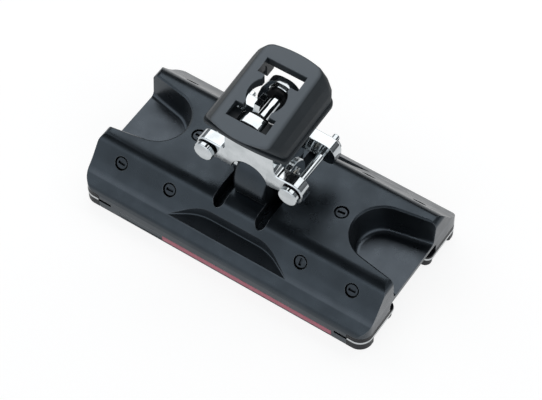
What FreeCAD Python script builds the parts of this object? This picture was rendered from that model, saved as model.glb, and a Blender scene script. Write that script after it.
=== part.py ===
import FreeCAD
import Part
import math
import os

# Mainsheet traveller car with a stand-up toggle, in millimetres.
# X runs along the track, Y across it, Z up. The origin is at the bottom centre of the car.

# Body of the car
CAR_LENGTH = 229.0
CAR_WIDTH = 120.0
DECK_Z = 46.7  # flat top between the two crests
CREST_Y = CAR_WIDTH / 2 - 25.8
SLOPE_MID_Y = CAR_WIDTH / 2 - 13.5
SLOPE_MID_Z = 29.6
SKIRT_TOP_Z = 16.4
SKIRT_BOTTOM_Z = 1.6
CREST_R = 12.0
SLOPE_R = 60.0
SKIRT_R = 9.0
PLAN_CORNER_R = 9.5
DECK_END_R = 6.0
END_BREAK_R = 1.2

# Underside: the track channel, and a rail and a groove in each leg
CHANNEL_HALF = 29.0
CHANNEL_TOP_Z = 20.6
CHANNEL_R = 3.0
RAIL_BOTTOM_Z = 1.2
GROOVE_INNER_Y = CAR_WIDTH / 2 - 24.0
GROOVE_OUTER_Y = CAR_WIDTH / 2 - 13.5
GROOVE_TOP_Z = 9.8

# Scooped pocket at each end
POCKET_FLOOR_Z = 24.1
POCKET_RIM_X = CAR_LENGTH / 2 - 24.0
POCKET_RIM_R = 22.6
POCKET_RIM_FLARE = 9.5
POCKET_FLOOR_X = CAR_LENGTH / 2 - 22.7
POCKET_FLOOR_R = 20.0
POCKET_FLOOR_FLARE = 12.0
POCKET_BLEND_R = 4.0
RIM_BREAK = 1.0

# Centre boss that carries the pivot pin, and the slots beside it
PIVOT_Z = 56.0
BOSS_R = 25.5
BOSS_HALF = 12.5
BOSS_EDGE_R = 3.0
SLOT_WIDTH = 8.5
SLOT_REACH_Y = CREST_Y + 4.6
SLOT_FLOOR_Z = 34.5

# Lens-shaped scoop in each slope
SCOOP_LOW_Y = CAR_WIDTH / 2 - 7.8
SCOOP_LOW_Z = 23.9
SCOOP_FOLD_Y = CAR_WIDTH / 2 - 18.3
SCOOP_FOLD_Z = 27.0
SCOOP_HEIGHT = 25.0
SCOOP_HALF = 48.3
SCOOP_FLAT_HALF = 28.0
SCOOP_ROUND_R = 38.0
SCOOP_FOLD_R = 1.3

# Slotted screws
SCREW_HEAD_R = 4.2
SCREW_SEAT_R = 5.15
SCREW_SHANK_R = 2.5
SCREW_HEAD_T = 2.6
SCREW_SLOT_W = 1.3
SCREW_SLOT_D = 1.1
SCREW_SLOT_LENGTH = 5.8
SCREW_SINK = 0.5
SCREW_FIT = 0.03
SLOPE_SCREW_XS = (CAR_LENGTH / 2 - 62.0, CAR_LENGTH / 2 - 22.1)
SLOPE_SCREW_Y = CAR_WIDTH / 2 - 18.0
SLOPE_SCREW_LENGTH = 15.0
DECK_SCREW_X = CAR_LENGTH / 2 - 57.2
DECK_SCREW_LENGTH = 14.0
SLOPE_SCREW_TURNS = (-4, 92, 5, -3)
DECK_SCREW_TURNS = (4, -8)

# Race strips and load balls
RACE_INNER_Y = 21.0
RACE_BOTTOM_Z = 1.2
RACE_TOP_Z = 20.0
RACE_HALF = CAR_LENGTH / 2 - 16.5
BALL_R = 4.76
BALL_Y = 22.8
BALL_Z = 11.2
BALL_GAP = 0.3
BALL_COUNT = int(2 * RACE_HALF / (2 * BALL_R + BALL_GAP))
BALL_SIDES = 8

# End guides and the bands round them
GUIDE_START_X = CAR_LENGTH / 2 - 16.2
GUIDE_SKIRT_X = CAR_LENGTH / 2 - 13.9
GUIDE_BRIDGE_X = CAR_LENGTH / 2 - 7.5
GUIDE_NOSE_IN = 1.0
GUIDE_TOP_Z = 13.2
GUIDE_FORK_Z = 6.6
GUIDE_NOSE_TOP_Z = 11.0
GUIDE_INNER_Y = 21.0
GUIDE_FORK_Y = 30.6
GUIDE_NOSE_R = 4.6
GUIDE_FORK_R = 1.5
GUIDE_LOBE_R = 2.0
GUIDE_CLEAR = 0.3
GUIDE_LOW_BREAK = 0.8
BAND_LOW_Z = 7.6
BAND_HEIGHT = 1.9
BAND_T = 1.0
BAND_SINK = 0.8

# Strips under and on the skirt
SKID_T = 1.6
SKID_IN = 0.5
STRIPE_START_X = 67.0 - CAR_LENGTH / 2
STRIPE_END_X = CAR_LENGTH / 2 - 25.9
STRIPE_LOW_Z = 2.2
STRIPE_HIGH_Z = 6.8
STRIPE_T = 0.3
LABEL_START_X = 31.0 - CAR_LENGTH / 2
LABEL_MARGIN = 0.3
CATCH_START_X = CAR_LENGTH / 2 - 24.0
CATCH_DEPTH = 2.5

# Toggle
MAIN_PIN_Z = 115.5
CHEEK_INNER = 14.8
CHEEK_T = 9.0
CONTROL_X = 33.1
CONTROL_Z = 77.6
KNUCKLE_R = 8.6
EAR_CROWN_HALF = 7.5
EAR_TOP_Z = MAIN_PIN_Z + 11.7
EAR_CROWN_R = 10.0
EAR_HALF = 15.2
EAR_SIDE_Z = MAIN_PIN_Z - 2.0
SHOULDER_HALF = 18.6
SHOULDER_Z = MAIN_PIN_Z - 12.5
FOOT_X = 16.6
FOOT_Z = 71.0
FOOT_HEEL_X = 24.5
ARCH_R = 14.2
ARCH_Z = 69.8
CHEEK_EDGE_BREAK = 0.8
WEB_GAP = 0.45
WEB_T = 4.6
EYE_T = 6.8
EYE_R = 14.0
WEB_LOW_Z = 66.0
WEB_TOP_Z = MAIN_PIN_Z - 15.5
WEB_DIP_Z = MAIN_PIN_Z - 25.5
MAIN_BOSS_R = 9.3
MAIN_BOSS_INNER = 13.4
MAIN_BOSS_BREAK = 0.6
BACK_EAR_Y = 20.5
BACK_EAR_SEAT_R = 17.0
WASHER_R = 8.2
WASHER_T = 2.8

# Pins
RUN_FIT = 0.05
CONTROL_PIN_R = 2.55
CONTROL_HEAD_R = 7.3
CONTROL_HEAD_T = 3.2
CONTROL_COLLAR_R = 3.9
CONTROL_COLLAR_T = 1.3
CONTROL_TAIL = 7.1
PIN_BREAK = 0.6
RING_WIRE_R = 0.6
RING_R = 4.6
RING_HOLE_R = 1.1
RING_INSET = 2.9
MAIN_PIN_R = 4.0
MAIN_HEAD_R = 6.0
MAIN_HEAD_T = 2.0
EAR_SEAT_DEPTH = 2.3
CLIP_T = 1.2
CLIP_OUTER_R = 6.2
CLIP_GAP_DEG = 70.0
PIVOT_PIN_R = 5.0
PIVOT_HEAD_R = 7.8
PIVOT_HEAD_T = 2.4
PIVOT_CLIP_R = 8.0
BUSH_R = 7.0
GROOVE_DEPTH = 0.5
TAIL_PAST_CLIP = 1.2

# Boot
BOOT_TOP_Z = MAIN_PIN_Z + 17.4
BOOT_TOP_SLOPE = 0.154
BOOT_BRIM_Z = MAIN_PIN_Z - 3.2
BOOT_BRIM_SLOPE = 0.05
BOOT_BRIM_T = 3.6
BOOT_BRIM_HALF = 32.5
BOOT_BRIM_FRONT_Y = -28.0
BOOT_BRIM_BACK_Y = 30.0
BOOT_BRIM_BULGE = 2.7
BOOT_BRIM_BACK_R = 7.5
BOOT_BRIM_EDGE_R = 1.0
BOOT_FOOT_HALF = 31.0
BOOT_FOOT_FRONT_Y = -25.9
BOOT_FOOT_BACK_Y = 30.4
BOOT_FOOT_BULGE = 2.5
BOOT_SIDE_CURVE = 1.9
BOOT_BACK_SWELL = 1.6
BOOT_TOP_HALF = 21.0
BOOT_TOP_FRONT_Y = -34.0
BOOT_TOP_BACK_Y = 31.8
BOOT_TOP_BULGE = 4.0
BOOT_BACK_R = 7.0
BOOT_BACK_BOW = 3.0
BOOT_FRONT_R = 3.2
BOOT_RIM_R = 1.5
BOOT_SEAT_GAP = 0.3
BOOT_SIDE_WALL = 3.2
BOOT_TOP_WALL = 3.0
BOOT_GATE_HALF = 17.0
BOOT_GATE_DROP = 3.2
EAR_SHELF_DROP = 8.9
EAR_SHELF_T = 4.0
WINDOW_HALF = 15.4
WINDOW_NECK_HALF = 9.8
WINDOW_ROUND_R = 13.4
WINDOW_ROUND_Y = -1.5
WINDOW_FRONT_Y = -25.7
WINDOW_BACK_Y = 22.4
WINDOW_EAR_DEPTH = 11.8

def vec(x, y, z):
    return FreeCAD.Vector(x, y, z)


def box(x0, x1, y0, y1, z0, z1):
    low = vec(min(x0, x1), min(y0, y1), min(z0, z1))
    return Part.makeBox(abs(x1 - x0), abs(y1 - y0), abs(z1 - z0), low)


def rod(start, end, radius):
    """A cylinder from one point to another."""
    axis = end.sub(start)
    return Part.makeCylinder(radius, axis.Length, start, axis)


def mirrored(shape, axis):
    """The shape seen in a mirror across the plane whose normal is the given axis."""
    normal = {"x": vec(1, 0, 0), "y": vec(0, 1, 0)}[axis]
    return shape.mirror(vec(0, 0, 0), normal)


def both(shape, axis):
    return [shape, mirrored(shape, axis)]


def fuse_all(shapes):
    return shapes[0].fuse(shapes[1:]).removeSplitter()


def rounded_loop(points, place):
    """A closed wire through flat points (a, b, corner radius), put in space by place(a, b)."""
    corners = []
    count = len(points)
    for i, (a, b, radius) in enumerate(points):
        here = vec(a, b, 0)
        if radius <= 0:
            corners.append((here, here, None))
            continue
        back = vec(*points[i - 1][:2], 0).sub(here)
        ahead = vec(*points[(i + 1) % count][:2], 0).sub(here)
        back.normalize()
        ahead.normalize()
        half = 0.5 * back.getAngle(ahead)
        reach = radius / math.tan(half)
        middle = back.add(ahead)
        middle.normalize()
        centre = here.add(middle * (radius / math.sin(half)))
        crown = centre.sub(middle * radius)
        corners.append((here.add(back * reach), here.add(ahead * reach), crown))
    edges = []
    for i, (start, end, crown) in enumerate(corners):
        if crown is not None:
            edges.append(Part.Arc(place(start.x, start.y), place(crown.x, crown.y), place(end.x, end.y)).toShape())
        following = corners[(i + 1) % count][0]
        if end.distanceToPoint(following) > 1e-6:
            edges.append(Part.LineSegment(place(end.x, end.y), place(following.x, following.y)).toShape())
    return Part.Wire(edges)


def slab(points, place, travel):
    """A flat rounded outline pushed along a vector."""
    return Part.Face(rounded_loop(points, place)).extrude(travel)


def slope_point(along_y):
    """A point of the upper slope, and the unit normal there, for the back side."""
    run = vec(0, SLOPE_MID_Y - CREST_Y, SLOPE_MID_Z - DECK_Z)
    share = (along_y - CREST_Y) / run.y
    point = vec(0, along_y, DECK_Z + share * run.z)
    normal = vec(0, -run.z, run.y)
    normal.normalize()
    return point, normal


def body_section():
    """The car's cross-section, from the middle of the channel round to the middle of the deck."""
    half = CAR_WIDTH / 2
    side = [
        (CHANNEL_HALF, CHANNEL_TOP_Z, CHANNEL_R),
        (CHANNEL_HALF, RAIL_BOTTOM_Z, 0),
        (GROOVE_INNER_Y, RAIL_BOTTOM_Z, 1.0),
        (GROOVE_INNER_Y, GROOVE_TOP_Z, 1.0),
        (GROOVE_OUTER_Y, GROOVE_TOP_Z, 1.0),
        (GROOVE_OUTER_Y, SKIRT_BOTTOM_Z, 0),
        (half, SKIRT_BOTTOM_Z, 0),
        (half, SKIRT_TOP_Z, SKIRT_R),
        (SLOPE_MID_Y, SLOPE_MID_Z, SLOPE_R),
        (CREST_Y, DECK_Z, CREST_R),
    ]
    other = [(-y, z, r) for y, z, r in reversed(side)]
    return side + other


def body_blank():
    half_x = CAR_LENGTH / 2
    half_y = CAR_WIDTH / 2
    bar = slab(body_section(), lambda y, z: vec(-half_x, y, z), vec(CAR_LENGTH, 0, 0))
    plan = [
        (half_x, -half_y, PLAN_CORNER_R),
        (half_x, half_y, PLAN_CORNER_R),
        (-half_x, half_y, PLAN_CORNER_R),
        (-half_x, -half_y, PLAN_CORNER_R),
    ]
    above = DECK_Z + 1
    bar = bar.common(slab(plan, lambda x, y: vec(x, y, -1), vec(0, 0, above + 1)))
    side = [
        (half_x, -1, 0),
        (half_x, DECK_Z, DECK_END_R),
        (-half_x, DECK_Z, DECK_END_R),
        (-half_x, -1, 0),
    ]
    return bar.common(slab(side, lambda x, z: vec(x, -half_y - 1, z), vec(0, CAR_WIDTH + 2, 0)))


def pocket_loop(share, outset=0.0):
    """The pocket's outline in plan at a share of the way from floor to rim: a round inner end, and sides
    that open out towards the car's end."""

    def between(floor, rim):
        return floor + (rim - floor) * share

    flare = math.radians(between(POCKET_FLOOR_FLARE, POCKET_RIM_FLARE))
    radius = between(POCKET_FLOOR_R, POCKET_RIM_R) + outset
    centre_x = between(POCKET_FLOOR_X, POCKET_RIM_X)
    z = between(POCKET_FLOOR_Z, DECK_Z)
    tangent_x = centre_x - radius * math.sin(flare)
    tangent_y = radius * math.cos(flare)
    end_x = CAR_LENGTH / 2 + 5
    end_y = tangent_y + (end_x - tangent_x) * math.tan(flare)
    round_end = Part.Arc(vec(tangent_x, tangent_y, z), vec(centre_x - radius, 0, z), vec(tangent_x, -tangent_y, z))
    corners = [
        vec(tangent_x, -tangent_y, z),
        vec(end_x, -end_y, z),
        vec(end_x, end_y, z),
        vec(tangent_x, tangent_y, z),
    ]
    sides = [Part.LineSegment(a, b).toShape() for a, b in zip(corners, corners[1:])]
    return Part.Wire([round_end.toShape()] + sides)


def pocket_tool():
    """The space of one end pocket, wider at its rim than at its floor, with the rim broken."""
    broken = RIM_BREAK / (DECK_Z - POCKET_FLOOR_Z)
    levels = [pocket_loop(0), pocket_loop(1 - broken), pocket_loop(1 + broken, 2 * RIM_BREAK)]
    space = Part.makeLoft(levels, True, True)
    floor_edges = []
    for edge in space.Edges:
        middle = edge.BoundBox
        at_end = middle.XMin > CAR_LENGTH / 2
        if middle.ZMax < POCKET_FLOOR_Z + 0.01 and not at_end:
            floor_edges.append(edge)
    return space.makeFillet(POCKET_BLEND_R, floor_edges)


def boss():
    barrel = Part.makeCylinder(BOSS_R, 2 * BOSS_HALF, vec(-BOSS_HALF, 0, PIVOT_Z), vec(1, 0, 0))
    rims = [edge for edge in barrel.Edges if edge.BoundBox.XLength < 0.01]
    barrel = barrel.makeFillet(BOSS_EDGE_R, rims)
    root = DECK_Z - 2 * BOSS_EDGE_R
    upper = box(-BOSS_HALF, BOSS_HALF, -BOSS_R, BOSS_R, root, PIVOT_Z + BOSS_R + 1)
    return barrel.common(upper)


def slot_tool():
    """One crosswise slot beside the boss, with round ends."""
    near = BOSS_HALF
    far = BOSS_HALF + SLOT_WIDTH
    r = SLOT_WIDTH / 2 - 0.001
    outline = [
        (near, -SLOT_REACH_Y, r),
        (far, -SLOT_REACH_Y, r),
        (far, SLOT_REACH_Y, r),
        (near, SLOT_REACH_Y, r),
    ]
    return slab(outline, lambda x, y: vec(x, y, SLOT_FLOOR_Z), vec(0, 0, 2 * BOSS_R))


def scoop_tool():
    """The lens-shaped scoop of the back slope: a nearly level floor and an upright wall behind it."""
    low = vec(0, SCOOP_LOW_Y, SCOOP_LOW_Z)
    up = vec(0, SCOOP_FOLD_Y, SCOOP_FOLD_Z).sub(low)
    depth = up.Length
    up.normalize()
    outline = [
        (-SCOOP_HALF, 0, 0),
        (SCOOP_HALF, 0, 0),
        (SCOOP_FLAT_HALF, depth, SCOOP_ROUND_R),
        (-SCOOP_FLAT_HALF, depth, SCOOP_ROUND_R),
    ]
    space = slab(outline, lambda x, s: vec(x, low.y + s * up.y, low.z + s * up.z), vec(0, 0, SCOOP_HEIGHT))
    fold = [edge for edge in space.Edges
            if edge.BoundBox.ZMin > SCOOP_LOW_Z - 0.01 and edge.BoundBox.ZMax < SCOOP_FOLD_Z + 0.01
            and edge.BoundBox.YMin < SCOOP_LOW_Y - 0.1]
    return space.makeFillet(SCOOP_FOLD_R, fold)


def screw(place, axis, length, turn):
    """A slotted screw whose head face is at place and whose shank goes along axis."""
    head_end = place.add(axis * SCREW_HEAD_T)
    head = rod(place, head_end, SCREW_HEAD_R)
    rim = [edge for edge in head.Edges if edge.Vertexes[0].Point.sub(place).dot(axis) < 0.01]
    head = head.makeFillet(0.5, [edge for edge in rim if edge.Curve.TypeId == "Part::GeomCircle"])
    shank = rod(head_end, place.add(axis * length), SCREW_SHANK_R)
    slot_corner = vec(-SCREW_SLOT_LENGTH / 2, -SCREW_SLOT_W / 2, 0)
    slot = Part.makeBox(SCREW_SLOT_LENGTH, SCREW_SLOT_W, SCREW_SLOT_D, slot_corner)
    slot.rotate(vec(0, 0, 0), vec(0, 0, 1), turn)
    slot.Placement = FreeCAD.Placement(place, FreeCAD.Rotation(vec(0, 0, 1), axis)).multiply(slot.Placement)
    return head.fuse(shank).cut(slot)


def screw_seat(place, axis, length):
    """The counterbore and hole for a screw, from just outside the surface."""
    out = place.sub(axis * (2 * SCREW_HEAD_R))
    seat = rod(out, place.add(axis * SCREW_HEAD_T), SCREW_SEAT_R)
    hole = rod(out, place.add(axis * length), SCREW_SHANK_R + SCREW_FIT)
    return seat.fuse(hole)


def slope_screw_places(side):
    """Head place and inward axis of the four screws of one slope; side is +1 at the back."""
    point, normal = slope_point(SLOPE_SCREW_Y)
    axis = vec(0, -side * normal.y, -normal.z)
    spots = []
    for x in SLOPE_SCREW_XS:
        for sign in (-1, 1):
            face = vec(sign * x, side * point.y, point.z)
            spots.append((face.add(axis * SCREW_SINK), axis))
    return spots


def deck_screw_places():
    down = vec(0, 0, -1)
    return [(vec(sign * DECK_SCREW_X, 0, DECK_Z - SCREW_SINK), down) for sign in (-1, 1)]


def guide_outline(grow):
    """Plan of the end guide at the back right corner: two noses with a notch between them."""
    half_x = CAR_LENGTH / 2
    half_y = CAR_WIDTH / 2
    nose_x = half_x - GUIDE_NOSE_IN
    inner_far = GUIDE_FORK_Y
    outer_near = GROOVE_OUTER_Y + 0.4
    return [
        (GUIDE_START_X - grow, GUIDE_INNER_Y - grow, 0),
        (nose_x + grow, GUIDE_INNER_Y - grow, GUIDE_NOSE_R + grow),
        (nose_x + grow, inner_far + grow, GUIDE_NOSE_R + grow),
        (GUIDE_BRIDGE_X + grow, inner_far + grow, GUIDE_FORK_R - grow),
        (GUIDE_BRIDGE_X + grow, outer_near - grow, GUIDE_FORK_R - grow),
        (half_x + grow, outer_near - grow, GUIDE_LOBE_R + grow),
        (half_x + grow, half_y + grow, PLAN_CORNER_R + grow),
        (GUIDE_START_X - grow, half_y + grow, 0),
    ]


def flange_outline(grow):
    """Plan of the guide's flange, which carries the band straight across the notch between the noses."""
    half_x = CAR_LENGTH / 2
    half_y = CAR_WIDTH / 2
    return [
        (GUIDE_START_X - grow, GUIDE_INNER_Y - grow, 0),
        (half_x + grow, GUIDE_INNER_Y - grow, GUIDE_NOSE_R + grow),
        (half_x + grow, half_y + grow, PLAN_CORNER_R + grow),
        (GUIDE_START_X - grow, half_y + grow, 0),
    ]


def end_notch():
    """What the body gives up for one end guide."""
    room = box(GUIDE_START_X - GUIDE_CLEAR, CAR_LENGTH, GUIDE_INNER_Y - GUIDE_CLEAR, CAR_WIDTH,
               -1, GUIDE_TOP_Z + GUIDE_CLEAR)
    keep = box(0, GUIDE_SKIRT_X - GUIDE_CLEAR, GROOVE_OUTER_Y, CAR_WIDTH, -2, DECK_Z)
    return room.cut(keep)


def end_guide():
    """The guide: two noses below a flange that lies flat under the body and carries the band."""
    guide = slab(guide_outline(0), lambda x, y: vec(x, y, 0), vec(0, 0, GUIDE_TOP_Z))
    low_rim = [edge for edge in guide.Edges if edge.BoundBox.ZMax < 0.01
               and edge.BoundBox.XMax > GUIDE_BRIDGE_X and edge.BoundBox.YMax > GUIDE_INNER_Y + 0.1]
    guide = guide.makeChamfer(GUIDE_LOW_BREAK, low_rim)
    rise = vec(0, 0, GUIDE_TOP_Z - GUIDE_FORK_Z)
    guide = guide.fuse(slab(flange_outline(0), lambda x, y: vec(x, y, GUIDE_FORK_Z), rise))
    guide = guide.cut(box(0, GUIDE_SKIRT_X, GROOVE_OUTER_Y, CAR_WIDTH, -1, DECK_Z))
    guide = guide.cut(box(0, CAR_LENGTH, 0, CHANNEL_HALF, GUIDE_NOSE_TOP_Z, DECK_Z))
    return guide.cut(guide_ring(BAND_SINK + 0.02, 2.0, 0.05, GUIDE_SKIRT_X - 1)).removeSplitter()


def guide_ring(inside, outside, loose, start_x):
    """A strip along the flange's outline, from the skirt round the end to the channel side."""
    low = BAND_LOW_Z - loose
    rise = vec(0, 0, BAND_HEIGHT + 2 * loose)
    outer = slab(flange_outline(outside), lambda x, y: vec(x, y, low), rise)
    inner = slab(flange_outline(-inside), lambda x, y: vec(x, y, low), rise)
    ring = outer.cut(inner)
    return ring.common(box(start_x, CAR_LENGTH, 0, CAR_WIDTH, low, low + rise.z))


def band():
    """The bright band, seated in the guide's groove and a little proud of it."""
    return guide_ring(BAND_SINK, BAND_T - BAND_SINK, 0, GUIDE_SKIRT_X + 0.3)


def car_body():
    body = body_blank()
    tool = pocket_tool()
    body = body.cut(both(tool, "x"))
    body = body.fuse(boss()).cut(both(slot_tool(), "x"))
    body = body.cut(both(scoop_tool(), "y"))
    seats = []
    for side in (-1, 1):
        for place, axis in slope_screw_places(side):
            seats.append(screw_seat(place, axis, SLOPE_SCREW_LENGTH))
    for place, axis in deck_screw_places():
        seats.append(screw_seat(place, axis, DECK_SCREW_LENGTH))
    body = body.cut(seats)
    half_y = CAR_WIDTH / 2
    low = BAND_LOW_Z - 0.9
    high = BAND_LOW_Z + BAND_HEIGHT
    catch = box(CATCH_START_X, GUIDE_SKIRT_X + 1, half_y - CATCH_DEPTH, half_y + 1, low, high)
    corners = [end_notch(), catch]
    for tool in corners:
        pair = both(tool, "x")
        body = body.cut(pair + [mirrored(one, "y") for one in pair])
    label = box(LABEL_START_X, STRIPE_END_X + LABEL_MARGIN, -half_y + STRIPE_T, -half_y - 1,
                STRIPE_LOW_Z - LABEL_MARGIN, STRIPE_HIGH_Z + LABEL_MARGIN)
    bore = rod(vec(-2 * BOSS_R, 0, PIVOT_Z), vec(2 * BOSS_R, 0, PIVOT_Z), PIVOT_PIN_R + RUN_FIT)
    return body.cut([label, bore]).removeSplitter()


def race_strip():
    """The back race strip: a C-shaped bar that holds its balls but lets them stand proud."""
    outline = [
        (RACE_INNER_Y, RACE_BOTTOM_Z, 1.0),
        (CHANNEL_HALF, RACE_BOTTOM_Z, 0),
        (CHANNEL_HALF, RACE_TOP_Z - 4, 0),
        (CHANNEL_HALF - 3, RACE_TOP_Z, 0),
        (RACE_INNER_Y, RACE_TOP_Z, 1.5),
    ]
    bar = slab(outline, lambda y, z: vec(-RACE_HALF, y, z), vec(2 * RACE_HALF, 0, 0))
    track = rod(vec(-RACE_HALF - 1, BALL_Y, BALL_Z), vec(RACE_HALF + 1, BALL_Y, BALL_Z), BALL_R + BALL_GAP / 2)
    return bar.cut(track)


def ball(x):
    """One load ball, with flat faces between few meridians because it repeats so often."""
    rings = []
    for share in (-0.97, -0.62, 0, 0.62, 0.97):
        radius = BALL_R * math.sqrt(1 - share * share)
        points = []
        for i in range(BALL_SIDES + 1):
            turn = 2 * math.pi * i / BALL_SIDES
            points.append(vec(x + BALL_R * share, BALL_Y + radius * math.cos(turn), BALL_Z + radius * math.sin(turn)))
        rings.append(Part.makePolygon(points))
    return Part.makeLoft(rings, True, True)


def load_balls():
    pitch = (2 * RACE_HALF - 2 * BALL_R - BALL_GAP) / (BALL_COUNT - 1)
    first = -RACE_HALF + BALL_R + BALL_GAP / 2
    return [ball(first + i * pitch) for i in range(BALL_COUNT)]


def skid():
    """The thin strip under the back skirt, between its end guides."""
    reach = GUIDE_SKIRT_X - 0.3
    return box(-reach, reach, GROOVE_OUTER_Y + SKID_IN, CAR_WIDTH / 2 - SKID_IN, 0, SKID_T)


def stripe():
    half_y = CAR_WIDTH / 2
    return box(STRIPE_START_X, STRIPE_END_X, -half_y, -half_y + STRIPE_T, STRIPE_LOW_Z, STRIPE_HIGH_Z)


def cheek_outline():
    """Outline of a cheek, in X and Z, from its left foot round over the ear; the arch is cut later."""
    knuckle_top = CONTROL_Z + KNUCKLE_R
    knuckle_low = CONTROL_Z - KNUCKLE_R
    end_x = CONTROL_X + KNUCKLE_R
    r = KNUCKLE_R - 0.001
    right = [
        (FOOT_X - 4, FOOT_Z, 0),
        (FOOT_X + 2, FOOT_Z, 2.5),
        (FOOT_HEEL_X, FOOT_Z + 1.2, 6.0),
        (CONTROL_X - 3, knuckle_low, 6.0),
        (end_x, knuckle_low, r - 3.2),
        (end_x, knuckle_top, r),
        (SHOULDER_HALF + 0.8, knuckle_top, 4.0),
        (SHOULDER_HALF, SHOULDER_Z, 12.0),
        (EAR_HALF, EAR_SIDE_Z, 12.0),
        (EAR_CROWN_HALF, EAR_TOP_Z, EAR_CROWN_R),
    ]
    left = [(-x, z, radius) for x, z, radius in reversed(right)]
    return right + left


def cheek():
    """The back cheek, with its inner boss and bores still to come."""
    plate = slab(cheek_outline(), lambda x, z: vec(x, CHEEK_INNER, z), vec(0, CHEEK_T, 0))
    edges = [edge for edge in plate.Edges if edge.BoundBox.YMin > CHEEK_INNER + CHEEK_T - 0.01]
    return plate.makeChamfer(CHEEK_EDGE_BREAK, edges)


def arch_tool():
    reach = CHEEK_INNER + CHEEK_T + 1
    return rod(vec(0, -reach, ARCH_Z), vec(0, reach, ARCH_Z), ARCH_R)


def main_boss():
    start = vec(0, MAIN_BOSS_INNER, MAIN_PIN_Z)
    barrel = rod(start, vec(0, CHEEK_INNER + 1, MAIN_PIN_Z), MAIN_BOSS_R)
    rim = [edge for edge in barrel.Edges if edge.BoundBox.YMax < MAIN_BOSS_INNER + 0.01]
    return barrel.makeChamfer(MAIN_BOSS_BREAK, rim)


def leg():
    """The right web between the cheeks, with the thicker round pivot eye below it."""
    inner = BOSS_HALF + WEB_GAP
    reach = CHEEK_INNER + 0.5
    web_outline = [
        (-reach, WEB_LOW_Z, 0),
        (reach, WEB_LOW_Z, 0),
        (reach, WEB_TOP_Z, 0),
        (reach * 0.62, WEB_TOP_Z, 1.0),
        (reach * 0.40, WEB_DIP_Z, 5.0),
        (-reach * 0.40, WEB_DIP_Z, 5.0),
        (-reach * 0.62, WEB_TOP_Z, 1.0),
        (-reach, WEB_TOP_Z, 0),
    ]
    web = slab(web_outline, lambda y, z: vec(inner, y, z), vec(WEB_T, 0, 0))
    eye = rod(vec(inner, 0, PIVOT_Z), vec(inner + EYE_T, 0, PIVOT_Z), EYE_R)
    rim = [edge for edge in eye.Edges if edge.BoundBox.XMin > inner + EYE_T - 0.01]
    return web.fuse(eye.makeChamfer(0.6, rim))


def toggle():
    halves = both(cheek(), "y") + both(main_boss(), "y")
    frame = fuse_all(halves + both(leg(), "x"))
    inner_room = [arch_tool().cut(box(-BOSS_R, BOSS_R, -CHEEK_INNER, CHEEK_INNER, 0, EAR_TOP_Z))]
    reach = CHEEK_INNER + CHEEK_T
    bores = []
    for sign in (-1, 1):
        x = sign * CONTROL_X
        bores.append(rod(vec(x, -reach - 1, CONTROL_Z), vec(x, reach + 1, CONTROL_Z), CONTROL_PIN_R + RUN_FIT))
    bores.append(rod(vec(0, -reach - 1, MAIN_PIN_Z), vec(0, reach + 1, MAIN_PIN_Z), MAIN_PIN_R + RUN_FIT))
    head_floor = vec(0, -(reach - EAR_SEAT_DEPTH), MAIN_PIN_Z)
    bores.append(rod(head_floor, vec(0, -(reach + 1), MAIN_PIN_Z), MAIN_HEAD_R + 0.5))
    bores.append(rod(vec(0, BACK_EAR_Y, MAIN_PIN_Z), vec(0, reach + 1, MAIN_PIN_Z), BACK_EAR_SEAT_R))
    wide = BOSS_HALF + EYE_T + 2
    bores.append(rod(vec(-wide, 0, PIVOT_Z), vec(wide, 0, PIVOT_Z), BUSH_R + 0.02))
    return frame.cut(inner_room + bores).removeSplitter()


def toggle_bush():
    """The right bearing bush, which fills the leg's eye."""
    start = BOSS_HALF + WEB_GAP
    bush = rod(vec(start, 0, PIVOT_Z), vec(start + EYE_T, 0, PIVOT_Z), BUSH_R)
    return bush.cut(rod(vec(start - 1, 0, PIVOT_Z), vec(start + EYE_T + 1, 0, PIVOT_Z), PIVOT_PIN_R + RUN_FIT))


def turned(stations, origin, axis):
    """A turned piece: stations are (distance along the axis, radius) pairs of its outline."""
    points = [vec(0, 0, stations[0][0])]
    points += [vec(radius, 0, along) for along, radius in stations]
    points += [vec(0, 0, stations[-1][0]), points[0]]
    solid = Part.Face(Part.makePolygon(points)).revolve(vec(0, 0, 0), vec(0, 0, 1), 360)
    solid.Placement = FreeCAD.Placement(origin, FreeCAD.Rotation(vec(0, 0, 1), axis))
    return solid


def control_pin(x):
    reach = CHEEK_INNER + CHEEK_T + 0.3
    tail = reach + CONTROL_TAIL
    head_in = -reach - CONTROL_COLLAR_T
    head_face = head_in - CONTROL_HEAD_T
    stations = [
        (head_face, CONTROL_HEAD_R - PIN_BREAK),
        (head_face + PIN_BREAK, CONTROL_HEAD_R),
        (head_in, CONTROL_HEAD_R),
        (head_in, CONTROL_COLLAR_R),
        (-reach, CONTROL_COLLAR_R),
        (-reach, CONTROL_PIN_R),
        (tail - PIN_BREAK, CONTROL_PIN_R),
        (tail, CONTROL_PIN_R - PIN_BREAK),
    ]
    pin = turned(stations, vec(x, 0, CONTROL_Z), vec(0, 1, 0))
    hole_y = tail - RING_INSET
    hole = rod(vec(x - 2 * CONTROL_PIN_R, hole_y, CONTROL_Z), vec(x + 2 * CONTROL_PIN_R, hole_y, CONTROL_Z), RING_HOLE_R)
    return pin.cut(hole)


def control_ring(x):
    """The split ring that hangs in the pin's cross hole."""
    y = CHEEK_INNER + CHEEK_T + 0.3 + CONTROL_TAIL - RING_INSET
    sag = RING_R - math.sqrt(RING_R ** 2 - CONTROL_PIN_R ** 2)
    centre = vec(x, y, CONTROL_Z - RING_R + sag / 2)
    return Part.makeTorus(RING_R, RING_WIRE_R, centre, vec(0, 1, 0))


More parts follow.
